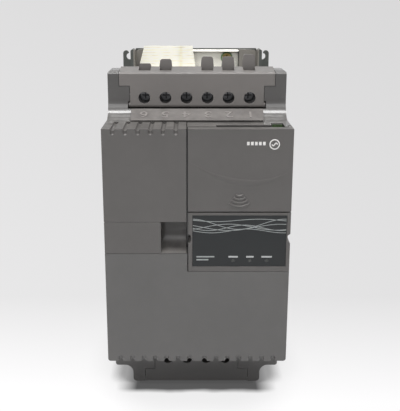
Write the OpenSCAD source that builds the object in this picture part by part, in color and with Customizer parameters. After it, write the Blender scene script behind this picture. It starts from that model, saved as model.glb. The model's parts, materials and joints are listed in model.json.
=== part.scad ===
// Wall-mounted variable frequency drive.
// Frame: x across, y = 0 on the wall and -body_d at the front face, z up with the motor terminals at the top.

/* [Case] */
// Width of the case
body_w = 130; // [129:0.5:131]
// Height over the mounting ears
body_h = 260; // [259.5:0.1:261]
// Depth from the wall to the front face
body_d = 169; // [168:0.5:171]
// Thickness of the moulded walls
wall = 2.5; // [2.2:0.1:2.8]
// Height of the front block above mid-height
front_top = 87.5; // [87.2:0.1:87.8]
// Depth of the front block below mid-height
front_low = 84; // [83.5:0.1:84.4]
// Set-back of both terminal shoulders from the front face
shoulder = 50; // [49.6:0.1:50.4]
// Depth of the heat sink zone behind the case
sink_zone = 64; // [63:0.5:64]

/* [Front covers] */
// Height of the seam between the left cover and the grip insert
left_seam = 22.2; // [21.5:0.1:23]
// Height of the seam under the grip insert
grip_seam = -1; // [-2:0.1:0]
// Height of the seam between the control cover and the display cover
control_seam = 29.6; // [29.2:0.1:30]
// Height of the seam under the display cover
display_seam = -14.3; // [-15:0.1:-14]
// Where the vertical seam splits the front, across the case
split_x = -7; // [-7.4:0.1:-6.6]
// Pitch of the vent grooves
groove_pitch = 8.55; // [8.4:0.05:8.6]

/* [Terminals] */
// Pitch of the power terminals
pole_pitch = 15.4; // [15:0.1:15.6]
// Number of motor side terminals
motor_poles = 6; // [6]
// Number of mains side terminals
mains_poles = 4; // [4]
// Radius of the screwdriver holes in the terminal covers
access_r = 4.3; // [3.8:0.1:4.4]

/* [Mounting] */
// Spacing of the mounting holes across the case
mount_w = 116; // [115.5:0.1:116.5]
// Spacing of the mounting holes along the case
mount_h = 246.3; // [246:0.1:246.6]
// Radius of the mounting holes
mount_r = 2.75; // [2.6:0.05:2.9]

/* [Cooling] */
// Number of heat sink fins
fin_count = 15; // [13:1:15]
// Thickness of one fin
fin_t = 2; // [1.6:0.1:2.4]
// Side of one fan
fan_side = 50; // [48:1:50]
// Number of blades on each fan
blade_count = 7; // [5:1:9]

/* [Hidden] */
$fn = 48;

half_w = body_w / 2;
top_z = body_h / 2;
case_back = -sink_zone;
gap = 0.35;               // visible seam between two covers
cap_d = 15;               // how far the front covers reach back
ledge_d = 32;             // how far the left cover's ledge reaches back
cove_r = 14;              // radius of the hollow between ledge and shoulder
mid_top = 110;
mid_low = -113.4;
brow_front = 120.2;       // front edge of the motor terminal shoulder's end
brow_top = 124;           // back edge of that end, which slopes
brow_side = 121.4;        // height of its two sides
brow_d = 24;              // depth of that shoulder
brow_r = 1.5;             // rounding of its front edge
corner_r = 2;             // rounding of the case's outer corners
throat_half = 51;         // half width of the necks at both ends
throat_top = 115;
foot_z = -127.8;          // lower end of the case
foot_r = 6.5;

motor_hole_z = 101.9;
motor_cover_low = 94.7;
motor_tee_z = 110.4;
motor_narrow = 49.2;
motor_wide = 57;
mains_hole_z = -107.5;
mains_cover_high = -97;
mains_tee_z = -116.6;
mains_narrow = 33.7;
mains_wide = 41.4;

board_t = 1.6;
power_board_y = -88;
control_board_y = -149;

fan_h = 15;
fan_low = -127;
fan_y = -33;
fan_x = fan_side / 2 + 1;
shaft_r = 1.5;
run_gap = 0.05;           // radial clearance of the fan shafts

fin_low = fan_low + fan_h;
fin_top = 110;
sink_screw_x = 52.5;      // the outermost fins are thick enough to hold the frame screws

case_screw_x = 59;        // screws that hold the heat sink to the case
case_screw_z = 92;

pivot_back = 5;           // hinge line of the control cover, behind the front face
pivot_z = front_top - 4.3;
plate_t = 1.3;            // sheet of the airflow plate
plate_top = 129.4;
ear_t = 4;
ear_x = 63.4;             // outer edge of the mounting ears
ear_z = 128.2;           // top of the open ears
earth_x = 26.6;
earth_z = 122.2;
lid_ledge = 8;            // depth of the control cover's ledge
pin_r = 1;
bead_r = 2.2;             // rolled hinge edge of the terminal covers
term_pivot = shoulder + bead_r;
motor_pivot_z = motor_cover_low + bead_r;
mains_pivot_z = mains_cover_high - bead_r;
pivots = [[motor_narrow, motor_pivot_z], [mains_narrow, mains_pivot_z]];
pivot_seat = 1.3;         // how far a hinge edge's seat reaches beyond the cover's narrow part
seam = 0.5;               // opening beside the hinge edge
terminal_back = 66;       // front of the terminal blocks, behind the front face
entry_d = 68;             // how far the terminal covers reach back
block_half = 9.5;

case_grey = [0.40, 0.39, 0.37];
dark_grey = [0.23, 0.24, 0.24];
board_green = [0.10, 0.32, 0.18];
steel = [0.72, 0.72, 0.73];
brass = [0.78, 0.64, 0.35];

// y of a plane that lies `back` behind the front face
function fy(back) = back - body_d;
// n positions at a pitch, centred on zero
function row(n, pitch) = [for (i = [0:n - 1]) (i - (n - 1) / 2) * pitch];
// vent grooves of one half of the front, from the middle outwards
function grooves() = [for (i = [0:6]) 6.1 + i * groove_pitch];
// those of the lower edge sit a little closer together
function low_grooves() = [for (i = [0:6]) 5.45 + i * (groove_pitch - 0.2)];

module box(x0, x1, y0, y1, z0, z1) {
    translate([x0, y0, z0]) cube([x1 - x0, y1 - y0, z1 - z0]);
}

// Extrudes an outline drawn in x and z along y
module slab(y0, y1) {
    translate([0, y1, 0]) rotate([90, 0, 0]) linear_extrude(y1 - y0) children();
}

// Extrudes an outline drawn in y and z along x
module beam(x0, x1) {
    translate([x0, 0, 0]) rotate([90, 0, 90]) linear_extrude(x1 - x0) children();
}

module rect(a0, a1, b0, b1) {
    translate([a0, b0]) square([a1 - a0, b1 - b0]);
}

module rod_y(x, z, r, y0, y1) {
    translate([x, y1, z]) rotate([90, 0, 0]) cylinder(r = r, h = y1 - y0);
}

module rod_z(x, y, r, z0, z1) {
    translate([x, y, z0]) cylinder(r = r, h = z1 - z0);
}

module rod_x(y, z, r, x0, x1) {
    translate([x0, y, z]) rotate([0, 90, 0]) cylinder(r = r, h = x1 - x0);
}

// A rod along x on each side of the middle, between two distances from it
module rods_x(y, z, r, near, far) {
    for (x = [-far, near]) rod_x(y, z, r, x, x + far - near);
}

// A box on each side of the middle, between two distances from it
module boxes_x(near, far, y0, y1, z0, z1) {
    for (x = [-far, near]) box(x, x + far - near, y0, y1, z0, z1);
}

// The piece between a square corner and the circle inside it; dx and dz point to the corner
module corner(x, z, r, dx, dz) {
    difference() {
        rect(min(x, x - dx * r), max(x, x - dx * r), min(z, z - dz * r), max(z, z - dz * r));
        translate([x - dx * r, z - dz * r]) circle(r);
    }
}

// Outline in x and z with the upper two corners rounded
module round_top(x, z0, z1, r) {
    difference() {
        rect(-x, x, z0, z1);
        for (side = [-1, 1]) corner(side * x, z1, r, side, 1);
    }
}

// ---- case body ----

// Side view of the front block, the shoulders and the hollows between them
module case_side_view() {
    rect(fy(0), fy(shoulder) + 1, -front_low, front_top);
    rect(fy(shoulder), case_back, mid_low, mid_top);
    corner(fy(shoulder), front_top, cove_r, 1, -1);
    corner(fy(shoulder), -front_low, cove_r, 1, 1);
}

// Front view of the foot with its flared neck
module foot_view() {
    difference() {
        rect(-throat_half, throat_half, foot_z, mid_low + 1);
        for (side = [-1, 1]) corner(side * throat_half, foot_z, 3, side, -1);
    }
    for (side = [-1, 1]) corner(side * throat_half, mid_low, foot_r, -side, 1);
}

// Side view of the shoulder's end: it slopes up to the back and is rounded at the front
module brow_side_view(low) {
    slope = atan((brow_top - brow_front) / brow_d);
    middle = [fy(shoulder) + brow_r, brow_front - brow_r * tan(45 - slope / 2)];
    polygon([
        [fy(shoulder), low], [fy(shoulder + brow_d), low], [fy(shoulder + brow_d), brow_top],
        middle + brow_r * [-sin(slope), cos(slope)], [fy(shoulder), middle.y]
    ]);
    translate(middle) circle(brow_r);
}

module case_outside() {
    difference() {
        beam(-half_w, half_w) case_side_view();
        for (side = [-1, 1]) {
            slab(fy(-1), fy(shoulder - cove_r)) corner(side * half_w, -front_low, corner_r, side, -1);
            slab(fy(shoulder) - 1, case_back + 1) corner(side * half_w, mid_low, corner_r, side, -1);
        }
    }
    intersection() {
        beam(-half_w, half_w) brow_side_view(mid_top - 1);
        slab(fy(shoulder) - 1, fy(shoulder + brow_d) + 1) round_top(half_w, mid_top - 2, brow_side, corner_r);
    }
    box(-throat_half, throat_half, fy(shoulder + brow_d) - 1, case_back, mid_top - 1, throat_top);
    slab(fy(shoulder), case_back) foot_view();
}

module case_cavity() {
    inner = half_w - wall;
    box(-inner, inner, fy(wall), case_back + 1, -front_low + wall, front_top - wall);
    box(-inner, inner, fy(shoulder + wall), case_back + 1, mid_low + wall, mid_top - wall);
    // motor terminal chamber, open at its end
    box(-motor_wide + wall, motor_wide - wall, fy(shoulder + wall), fy(shoulder + brow_d) - wall,
        mid_top - wall - 1, brow_top + 1);
    box(-throat_half + wall, throat_half - wall, fy(shoulder + wall), case_back - wall,
        mid_top - wall - 1, throat_top - wall);
    // mains terminal chamber, open at its end
    box(-throat_half + wall, throat_half - wall, fy(shoulder + wall), case_back - wall,
        foot_z + wall, mid_low + wall + 1);
    box(-mains_wide + wall, mains_wide - wall, fy(shoulder + wall), fy(entry_d + 0.6),
        foot_z - 1, foot_z + wall + 1);
}

// Outline of a terminal cover: narrow by the front block, wide at the end of the case
module tee(narrow, wide, z_inner, z_step, z_outer) {
    rect(-narrow, narrow, min(z_inner, z_step), max(z_inner, z_step));
    rect(-wide, wide, min(z_step, z_outer), max(z_step, z_outer));
}

module case_openings() {
    slab(fy(shoulder) - 4, fy(shoulder + wall) + 1) {
        tee(motor_narrow, motor_wide, motor_cover_low - seam, motor_tee_z, brow_top + 1);
        tee(mains_narrow, mains_wide, mains_cover_high + seam, mains_tee_z, foot_z - 1);
    }
    // room for the end walls of the terminal covers
    box(-motor_wide, motor_wide, fy(shoulder) - 1, fy(entry_d + 0.6), brow_front - wall - 0.7, brow_top + 1);
    box(-mains_wide, mains_wide, fy(shoulder) - 1, fy(entry_d + 0.6), foot_z - 1, foot_z + wall + 0.7);
    // the front covers take the place of the wall here
    box(-half_w - 1, split_x, fy(-1), fy(cap_d), grip_seam, front_top + 1);
    box(split_x - 0.01, half_w + 1, fy(-1), fy(lid_ledge + 2.2), display_seam, front_top + 1);
    box(split_x - 0.01, half_w + 1, fy(-1), fy(cap_d), display_seam, front_top - wall);
    box(half_w - wall - 0.2, half_w + 1, fy(-1), fy(cap_d), display_seam, front_top + 1);
    box(-half_w - 1, split_x, fy(-1), fy(ledge_d + gap), front_top - wall - gap, front_top + 1);
    // way out for the control wires
    box(13, 60, fy(lid_ledge), fy(cap_d + 1), front_top - wall - 1, front_top + 1);
    box(51.5, 60, fy(lid_ledge), fy(24), front_top - wall - 1, front_top + 1);
}

// Bosses beside the terminal covers that take their hinge pins
module pivot_bosses() {
    for (p = pivots) {
        boxes_x(p[0] + pivot_seat + 0.2, p[0] + 5, fy(shoulder), fy(term_pivot + 3), p[1] - 3, p[1] + 3);
    }
}

// Seats for the ends of the hinge edges, and the holes for their pins
module pivot_seats() {
    half = bead_r + seam;
    for (p = pivots) {
        boxes_x(p[0] - 2, p[0] + pivot_seat, fy(shoulder) - 4, fy(term_pivot + 2.9),
            p[1] - half, p[1] + half);
        rods_x(fy(term_pivot), p[1], pin_r + run_gap, p[0], p[0] + 5.6);
    }
}

// Vent slots in both sides of the case
module side_vents() {
    for (z = row(9, 8)) {
        box(-half_w - 1, half_w + 1, fy(62), fy(92), z + 18, z + 21);
        box(-half_w - 1, half_w + 1, fy(26), fy(44), z - 30, z - 27);
    }
}

// Half-round grooves along an edge of the front block, each with a rounded mouth in the front face;
// toward is 1 on the upper edge and -1 on the lower one
module vent_grooves(edge, toward, xs, r, reach) {
    end = edge - toward * 2.6;    // where the mouth's rounded end begins
    for (x = xs) {
        rod_y(x, edge + toward * 0.3, r, fy(-1), fy(reach));
        rod_z(x, fy(-0.3), r, min(edge + toward, end), max(edge + toward, end));
        translate([x, fy(-0.3), end]) sphere(r);
    }
}

// Deck that carries the control board, and the shelf above the fixed lower front
module case_deck() {
    inner = half_w - wall + 0.5;
    difference() {
        union() {
            box(-inner, inner, fy(cap_d), fy(cap_d + 2), display_seam - wall, front_top - wall + 0.5);
            box(-inner, split_x - 2, fy(1), fy(cap_d + 2), grip_seam - 2, grip_seam);
            box(split_x - 2, inner, fy(1), fy(cap_d + 2), display_seam - 2, display_seam);
            box(split_x - 2, split_x, fy(1), fy(cap_d + 2), display_seam - 2, grip_seam);
        }
        box(-half_w - 1, split_x, fy(cap_d) - 1, fy(cap_d + 3), front_top - wall - gap, front_top);
        box(12, 61, fy(cap_d) - 1, fy(cap_d + 3), 46, front_top + 1);
        box(-4, 18, fy(cap_d) - 1, fy(cap_d + 3), -9, 9);
        box(22, 56, fy(cap_d) - 1, fy(cap_d + 3), -9, 6);
    }
}

// Bosses for the screws that hold the heat sink, grown into the side walls
module case_bosses(r, reach) {
    for (x = [-case_screw_x, case_screw_x], z = [-case_screw_z, case_screw_z]) {
        rod_y(x, z, r, case_back - reach, case_back);
    }
}

// Lugs inside the case that carry the hinge pins of the control cover
module lid_lugs() {
    foot = pivot_z - 5;
    for (x = [split_x + 2.8, 60.9]) difference() {
        union() {
            rod_x(fy(pivot_back), pivot_z, 2.1, x, x + 1.3);
            box(x, x + 1.3, fy(pivot_back) - 2, fy(pivot_back) + 2, foot - 3, pivot_z);
            box(x, x + 1.3, fy(pivot_back) - 2, fy(cap_d + 2), foot - 3, foot);
        }
        rod_x(fy(pivot_back), pivot_z, pin_r + run_gap, x - 1, x + 3);
    }
}

module case_body() {
    color(case_grey) difference() {
        union() {
            difference() {
                union() {
                    difference() {
                        case_outside();
                        case_cavity();
                        case_openings();
                        side_vents();
                    }
                    pivot_bosses();
                }
                pivot_seats();
                vent_grooves(-front_low, -1, concat(low_grooves(), -low_grooves()), 1.8, 30);
            }
            case_deck();
            case_bosses(5, 16);
            lid_lugs();
        }
        translate([0, 1, 0]) case_bosses(1.75, 14);
        // holes for the control board screws
        for (p = board_posts()) rod_y(p.x, p.y, 1.3, fy(cap_d) - 1, fy(cap_d + 3));
    }
}

// ---- front covers ----

module left_front_cover() {
    x1 = split_x - 0.6;
    z0 = left_seam + gap / 2;
    color(case_grey) difference() {
        union() {
            box(-half_w, x1, fy(0), fy(wall), z0, front_top);
            box(-half_w, x1, fy(0), fy(ledge_d), front_top - wall, front_top);
            box(-half_w, -half_w + wall, fy(0), fy(cap_d - gap), z0, front_top);
            box(x1 - 2, x1, fy(0), fy(cap_d - gap), z0, front_top);
            box(-half_w, x1, fy(0), fy(cap_d - gap), z0, z0 + 2);
        }
        vent_grooves(front_top, 1, [for (x = grooves()) if (x > 10) -x], 1.6, 30);
    }
}

// Fixed band with a scooped hollow for a finger beside the display
module grip_insert() {
    x1 = split_x - 0.6;
    z0 = grip_seam + gap / 2;
    z1 = left_seam - gap / 2;
    scoop_x = -25.4;          // left wall of the hollow
    scoop_d = cap_d - 1;      // its depth
    scoop_r = scoop_d - 0.5;  // radius of its floor, which rises to the back
    fillet = 5;               // rounding between left wall and back
    color(case_grey) difference() {
        box(-half_w, x1, fy(0), fy(cap_d - gap), z0, z1);
        box(-half_w + wall, scoop_x - 3, fy(wall), fy(cap_d), z0 + 2, z1 - 2);
        intersection() {
            union() {
                rod_x(fy(0.5), z0 + 0.6 + scoop_r, scoop_r, scoop_x - 1, x1 + 1);
                box(scoop_x - 1, x1 + 1, fy(-1), fy(scoop_d), z0 + 0.6 + scoop_r, z1 + 1);
            }
            union() {
                box(scoop_x, x1 + 1, fy(-1), fy(scoop_d - fillet), z0, z1 + 1);
                box(scoop_x + fillet, x1 + 1, fy(-1), fy(scoop_d), z0, z1 + 1);
                rod_z(scoop_x + fillet, fy(scoop_d - fillet), fillet, z0, z1 + 1);
            }
        }
    }
}

// Ribs under a thumb, as arcs round one centre
module thumb_ribs(x, z, radii) {
    for (r = radii) {
        translate([x, fy(0) + 0.2, z]) rotate([90, 0, 0]) rotate([0, 0, -127])
            rotate_extrude(angle = 74) translate([r, 0]) difference() {
                circle(0.9);
                rect(-2, 2, -2, 0);
            }
    }
}

module control_cover() {
    x0 = split_x + 0.5;
    z0 = control_seam + 0.3;
    ledge_t = 2;
    color(case_grey) {
        box(x0, half_w, fy(0), fy(wall), z0, front_top);
        box(half_w - wall, half_w, fy(0), fy(13.8), z0, front_top);
        box(x0, half_w, fy(0), fy(lid_ledge), front_top - ledge_t, front_top);
        box(x0, x0 + 2, fy(0), fy(lid_ledge), z0, front_top);
        box(x0, half_w, fy(0), fy(lid_ledge), z0, z0 + 2);
        // hinge pins
        for (x = [x0 + 1.9, half_w - wall - 1.7]) rod_x(fy(pivot_back), pivot_z, pin_r, x, x + 1.8);
        thumb_ribs(29, 45.4, [4.4, 6.9, 9.4, 11.9]);
    }
}

// Outline of the display cover in x and z, with a finger notch at each side
module display_outline(inset) {
    x0 = split_x + 0.7 + inset;
    x1 = half_w - inset;
    z0 = display_seam + 0.25 + inset;
    z1 = control_seam - 0.6 - inset;
    notch = [6.6, 7.8, 12.4, 13.6];
    polygon([
        [x0, z0], [x1, z0], [x1, notch[0]], [x1 - 1.8, notch[1]], [x1 - 1.8, notch[2]], [x1, notch[3]],
        [x1, z1], [x0, z1], [x0, notch[3]], [x0 + 1.8, notch[2]], [x0 + 1.8, notch[1]], [x0, notch[0]]
    ]);
}

panel_x0 = -3.5;
panel_x1 = 62.4;
panel_z0 = -10.6;
panel_z1 = 27.1;
light_z = -6.2;
light_xs = [25.3, 37.1, 48.9];

module display_cover() {
    color(case_grey) difference() {
        slab(fy(0), fy(cap_d - gap)) display_outline(0);
        slab(fy(3), fy(cap_d)) display_outline(2.4);
        box(panel_x0, panel_x1, fy(-1), fy(1.1), panel_z0, panel_z1);
        for (x = light_xs) rod_y(x, light_z, 1.25, fy(0), fy(4));
        // room for the two latches
        for (side = [-1, 1]) {
            x = side < 0 ? split_x + 0.7 : half_w;
            box(x - 4.6, x + 4.6, fy(4), fy(11), 7.9, 12.3);
        }
    }
}

module display_panel() {
    color([0.15, 0.17, 0.17]) difference() {
        box(panel_x0 + 0.15, panel_x1 - 0.15, fy(0.35), fy(1.1), panel_z0 + 0.15, panel_z1 - 0.15);
        for (x = light_xs) rod_y(x, light_z, 1.25, fy(0), fy(2));
    }
}

// Latch that a thumb presses through the side notch; side is -1 or 1
module display_latch(side) {
    x = (side < 0 ? split_x + 0.7 : half_w) - side * 3.2;
    color(dark_grey) box(x - 1.2, x + 1.2, fy(4.2), fy(10.8), 8.1, 12.1);
}

module display_board() {
    color(board_green) box(10, 60, fy(7), fy(8.6), -9.5, 6);
    color(dark_grey) box(34, 46, fy(8.6), fy(13.5), -1.5, 4);
}

module status_lights() {
    color([0.85, 0.85, 0.8]) for (x = light_xs) {
        rod_y(x, light_z, 1.2, fy(0.5), fy(4));
        rod_y(x, light_z, 1.9, fy(4), fy(7));
    }
}

// ---- terminal covers ----

// Tube that guides a screwdriver to a terminal screw
module driver_tubes(n, z) {
    for (x = row(n, pole_pitch)) difference() {
        rod_y(x, z, access_r + 1.2, fy(shoulder + wall), fy(tube_end));
        rod_y(x, z, access_r, fy(shoulder), fy(tube_end + 1));
    }
}

// Heights of the bent-up cable flaps on the motor side, from left to right
flap_tops = [125.4, 128.6, 123.3, 130.3, 130.4, 132];
flap_w = 8.6;
flap_run = 11.5;
tube_end = 63;
// height of the shoulder's end where the flaps stand
entry_top = brow_front + (brow_top - brow_front) * (entry_d - shoulder) / brow_d;

// Tapered flap with a nearly flat top
module cable_flap(x, top) {
    r = min(1.8, (top - entry_top) / 2);
    slab(fy(entry_d - 2), fy(entry_d)) {
        polygon([
            [x - flap_w / 2 - 0.7, entry_top - 2], [x + flap_w / 2 + 0.7, entry_top - 2],
            [x + flap_w / 2, top - r], [x - flap_w / 2, top - r]
        ]);
        rect(x - flap_w / 2 + r, x + flap_w / 2 - r, top - r - 0.01, top);
        for (side = [-1, 1]) translate([x + side * (flap_w / 2 - r), top - r]) circle(r);
    }
}

// Rolled edge that a terminal cover turns on, with a pin at each end
module hinge_edge(narrow, z) {
    end = narrow + pivot_seat - 0.5;
    rod_x(fy(term_pivot), z, bead_r, -end, end);
    rods_x(fy(term_pivot), z, pin_r, end - 0.1, narrow + 3.6);
}

module motor_terminal_cover() {
    flaps = [for (i = [0:motor_poles - 1]) if (flap_tops[i] > entry_top + 1) i];
    xs = row(motor_poles, pole_pitch);
    color(case_grey) {
        difference() {
            intersection() {
                beam(-half_w, half_w) difference() {
                    brow_side_view(motor_pivot_z);
                    rect(fy(shoulder + wall), fy(entry_d) + 1, motor_cover_low - 1, brow_front - wall);
                    rect(fy(entry_d), fy(shoulder + brow_d) + 1, motor_cover_low - 1, brow_top + 1);
                }
                slab(fy(shoulder) - 1, fy(shoulder + brow_d)) tee(motor_narrow - gap, motor_wide - gap,
                    motor_cover_low, motor_tee_z + gap, brow_top + 1);
            }
            for (x = xs) rod_y(x, motor_hole_z, access_r, fy(shoulder) - 1, fy(shoulder + 6));
            // each bent-up flap leaves a cable slot in the end wall
            for (i = flaps) {
                box(xs[i] - flap_w / 2, xs[i] + flap_w / 2, fy(entry_d - flap_run), fy(entry_d - 2),
                    brow_front - wall - 1, brow_top + 1);
            }
        }
        difference() {
            hinge_edge(motor_narrow, motor_pivot_z);
            for (x = xs) rod_y(x, motor_hole_z, access_r, fy(shoulder) - 1, fy(shoulder + 6));
        }
        driver_tubes(motor_poles, motor_hole_z);
        for (i = flaps) cable_flap(xs[i], flap_tops[i]);
    }
}

module mains_terminal_cover() {
    low = foot_z + 0.4;
    xs = row(mains_poles, pole_pitch);
    color(case_grey) {
        difference() {
            union() {
                slab(fy(shoulder), fy(shoulder + wall)) tee(mains_narrow - gap, mains_wide - gap,
                    mains_pivot_z, mains_tee_z - gap, low);
                box(-mains_wide + gap, mains_wide - gap, fy(shoulder), fy(entry_d), low, low + wall);
            }
            for (x = xs) {
                rod_y(x, mains_hole_z, access_r, fy(shoulder) - 1, fy(shoulder + 6));
                // closed cable flaps, cut free on three sides
                slit = 0.8;
                half = flap_w / 2 + slit;
                y0 = fy(entry_d - flap_run);
                for (x1 = [x - half, x + half - slit]) {
                    box(x1, x1 + slit, y0, fy(entry_d - 2), low - 1, low + wall + 1);
                }
                box(x - half, x + half, y0, y0 + slit, low - 1, low + wall + 1);
            }
        }
        hinge_edge(mains_narrow, mains_pivot_z);
        driver_tubes(mains_poles, mains_hole_z);
    }
}

// Sloping strip in the hollow beside a terminal cover; it narrows towards the front block.
// toward is 1 above the front block and -1 below it
module marking_strip(half, edge, toward) {
    z0 = edge + toward * 0.02;
    rise = 6.8;
    color([0.52, 0.50, 0.48]) intersection() {
        beam(-half, half) difference() {
            polygon([
                [fy(ledge_d - 3.4), z0], [fy(shoulder - 2), z0 + toward * rise],
                [fy(shoulder - 2), z0], [fy(ledge_d + 3), z0]
            ]);
            translate([fy(shoulder - cove_r), edge + toward * cove_r]) difference() {
                circle(cove_r + 6);
                circle(cove_r - 0.06, $fn = 96);
            }
        }
        slab(fy(ledge_d - 4), fy(shoulder)) polygon([
            [-half + 1.3, edge - toward], [half - 1.3, edge - toward],
            [half, edge + toward * (rise + 1)], [-half, edge + toward * (rise + 1)]
        ]);
    }
}

// ---- power terminals ----

// Barrier block on the power board, with a pocket for each pole; toward points to the cable side
module terminal_block(n, z_mid, toward) {
    half = n * pole_pitch / 2 + 1.2;
    y0 = fy(terminal_back);
    color(dark_grey) difference() {
        box(-half, half, y0, power_board_y, z_mid - block_half, z_mid + block_half);
        // a pocket reaches further on the cable side
        for (x = row(n, pole_pitch)) {
            box(x - 6.5, x + 6.5, y0 - 1, y0 + 13, z_mid - 9 + toward * 2, z_mid + 9 + toward * 2);
        }
    }
}

module terminal_clamps(n, z_mid) {
    y0 = fy(terminal_back);
    color(steel) for (x = row(n, pole_pitch)) difference() {
        box(x - 5.8, x + 5.8, y0 + 4, y0 + 12.6, z_mid - 6, z_mid + 6);
        box(x - 4.2, x + 4.2, y0 + 6, y0 + 11, z_mid - 7, z_mid + 7);
        rod_y(x, z_mid, 2.1, y0, y0 + 7);
    }
}

module cross_slot(x, z, y0, depth, span) {
    box(x - span / 2, x + span / 2, y0 - 1, y0 + depth, z - 0.45, z + 0.45);
    box(x - 0.45, x + 0.45, y0 - 1, y0 + depth, z - span / 2, z + span / 2);
}

module terminal_screws(n, z_mid) {
    y0 = fy(terminal_back);
    color(steel) for (x = row(n, pole_pitch)) difference() {
        union() {
            rod_y(x, z_mid, 3.7, y0 + 0.9, y0 + 3.9);
            rod_y(x, z_mid, 2.0, y0 + 3.5, y0 + 9);
        }
        cross_slot(x, z_mid, y0 + 0.9, 1.5, 5.4);
    }
}

// ---- control electronics ----

// Fixings of the control board, as x and z
function board_posts() = [[-52, 4], [-52, 76], [4, 40], [58, 12]];

module control_board() {
    color(board_green) difference() {
        union() {
            box(-58, 61, control_board_y, control_board_y + board_t, -11, 81);
            box(52.2, 59.4, control_board_y, control_board_y + board_t, 80, front_top - 0.4);
        }
        for (p = board_posts()) rod_y(p.x, p.y, 1.5, control_board_y - 1, control_board_y + 3);
    }
    // processor and smaller chips
    color(dark_grey) {
        box(-30, -14, control_board_y + board_t, control_board_y + board_t + 2, 24, 40);
        box(-34, -28, control_board_y - 1.6, control_board_y, 52, 62);
        for (z = [8, 58]) box(-8, 0, control_board_y + board_t, control_board_y + board_t + 1.6, z, z + 5);
    }
}

// One row of clamps that face the front, with wire mouths towards the ledge
module wire_clamps(x0, x1, n, shade) {
    pitch = (x1 - x0) / n;
    color(shade) difference() {
        box(x0, x1, fy(8), control_board_y, 62, 79);
        for (i = [0:n - 1]) {
            rod_y(x0 + (i + 0.5) * pitch, 67, 1.45, fy(7), fy(12));
            box(x0 + (i + 0.2) * pitch, x0 + (i + 0.8) * pitch, fy(11.4), fy(14.6), 72, 80);
        }
    }
}

module control_terminal_block() {
    wire_clamps(14, 49.4, 10, [0.45, 0.46, 0.46]);
}

module relay_terminal_block() {
    wire_clamps(50.4, 60.6, 3, [0.22, 0.50, 0.22]);
}

module control_terminal_screws() {
    xs = concat([for (i = [0:9]) 14 + (i + 0.5) * 3.54], [for (i = [0:2]) 50.4 + (i + 0.5) * 3.4]);
    color(steel) for (x = xs) difference() {
        rod_y(x, 67, 1.4, fy(9), fy(11.9));
        box(x - 2, x + 2, fy(8.5), fy(9.6), 66.8, 67.2);
    }
}

module network_port() {
    color(dark_grey) difference() {
        box(-1.5, 15, fy(9), control_board_y, -8, 7.5);
        box(0.5, 13, fy(8), fy(18), -6, 4);
        box(4, 9.5, fy(8), fy(18), 3.9, 6);
    }
}

switch_x = 20;
switch_z = 53;

module selector_switch() {
    color([0.7, 0.15, 0.12]) difference() {
        box(switch_x - 5, switch_x + 5, control_board_y - 4, control_board_y, switch_z - 3, switch_z + 3);
        for (dx = [-2.4, 2.4]) {
            box(switch_x + dx - 0.8, switch_x + dx + 0.8, control_board_y - 5, control_board_y - 2.4,
                switch_z - 2.2, switch_z + 2.2);
        }
    }
}

// Slider at the lower end of its slot; it travels up
module selector_slider(dx) {
    color("white") box(switch_x + dx - 0.7, switch_x + dx + 0.7, control_board_y - 4.8, control_board_y - 2.5,
        switch_z - 2.1, switch_z - 0.5);
}

module control_board_standoffs() {
    color(brass) for (p = board_posts()) difference() {
        rod_y(p.x, p.y, 2.6, fy(cap_d + 2), control_board_y);
        rod_y(p.x, p.y, 1.3, fy(cap_d + 1), control_board_y + 1);
    }
}

module control_board_screws() {
    color(steel) for (p = board_posts()) {
        rod_y(p.x, p.y, 2.4, control_board_y + board_t, control_board_y + board_t + 1.8);
        rod_y(p.x, p.y, 1.2, fy(cap_d + 1), control_board_y + board_t + 0.2);
    }
}

module insulation_barrier() {
    color([0.85, 0.85, 0.82]) difference() {
        box(-61, 61, fy(30), fy(31.2), -9, 83);
        box(22, 53, fy(29), fy(32), -10, -4);
    }
}

module ribbon_cable() {
    color([0.62, 0.62, 0.60]) {
        box(25, 50, fy(24), power_board_y - 4, -7.6, -6.6);
        box(24, 51, control_board_y + board_t, fy(24.4), -9.6, -4.6);
        box(24, 51, power_board_y - 5, power_board_y, -9.6, -4.6);
    }
}

// ---- power electronics ----

module power_board() {
    color(board_green) difference() {
        box(-59, 59, power_board_y, power_board_y + board_t, -119, 111.5);
        for (x = [-51, 51]) for (z = [-78, 78]) rod_y(x, z, 2.1, power_board_y - 1, power_board_y + 3);
        // relief round the case bosses and the narrower necks
        near = case_screw_x - 6.5;
        boxes_x(near, half_w, power_board_y - 1, power_board_y + 3, 86, 120);
        boxes_x(near, half_w, power_board_y - 1, power_board_y + 3, -120, -86);
        boxes_x(38.2, half_w, power_board_y - 1, power_board_y + 3, -120, -109);
        boxes_x(47.5, half_w, power_board_y - 1, power_board_y + 3, 106, 120);
    }
}

module power_board_standoffs() {
    color(brass) for (x = [-51, 51], z = [-78, 78]) {
        rod_y(x, z, 3.2, power_board_y + board_t, case_back);
        rod_y(x, z, 2, power_board_y - 1.6, power_board_y + board_t + 0.2);
    }
}

// Flat power package with a row of pins along both long sides
module power_package(half, z0, z1, tall) {
    color([0.13, 0.13, 0.14]) box(-half, half, case_back - tall, case_back - 0.02, z0, z1);
    color(steel) for (x = row(8, half * 0.22)) for (z = [z0 + 3, z1 - 3]) {
        box(x - 0.6, x + 0.6, power_board_y + board_t, case_back - tall + 0.3, z - 0.4, z + 0.4);
    }
}

module power_module() {
    power_package(44, -28, 34, 16);
}

module rectifier_module() {
    power_package(26, -72, -40, 16);
}

module dc_capacitors() {
    color([0.12, 0.13, 0.18]) for (x = [-41, -3]) for (z = [-60, -22, 16]) difference() {
        rod_y(x, z, 17.4, power_board_y - 46, power_board_y);
        // vent scored across the can's end
        box(x - 9, x + 9, power_board_y - 47, power_board_y - 45.6, z - 0.3, z + 0.3);
        box(x - 0.3, x + 0.3, power_board_y - 47, power_board_y - 45.6, z - 9, z + 9);
    }
}

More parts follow.
